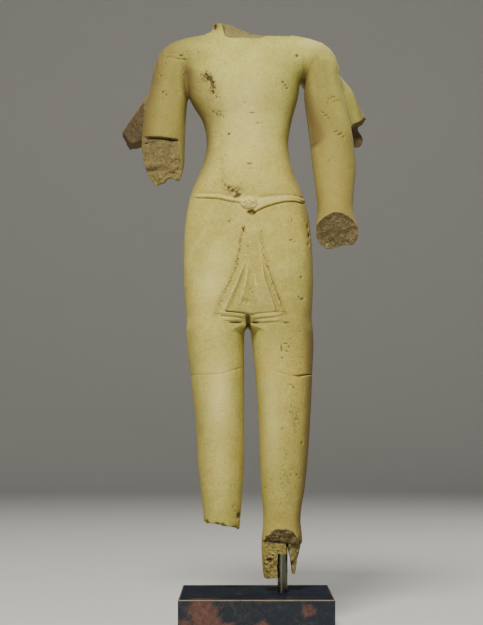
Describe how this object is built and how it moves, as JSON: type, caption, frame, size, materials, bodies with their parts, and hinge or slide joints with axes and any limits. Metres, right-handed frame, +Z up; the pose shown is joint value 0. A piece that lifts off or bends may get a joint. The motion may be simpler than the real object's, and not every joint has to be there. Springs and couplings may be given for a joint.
{
  "type": "deity statue",
  "caption": "Headless four-armed standing deity in pale sandstone with a knotted, pleated hip cloth, held up by a steel rod on a low polished marble plinth.",
  "frame": {"origin": "centre of the plinth's underside", "axes": "+Z up, -Y the way the figure faces, +X the figure's left"},
  "size_m": [0.5071, 0.28, 1.2324],
  "materials": {
    "sandstone": "smoothed by hand, weathered",
    "steel": "plain drawn bar, slightly darkened",
    "marble": "polished"
  },
  "bodies": {
    "root": {"statue": "sandstone", "mounting_rod": "steel", "plinth": "marble"}
  },
  "joints": []
}
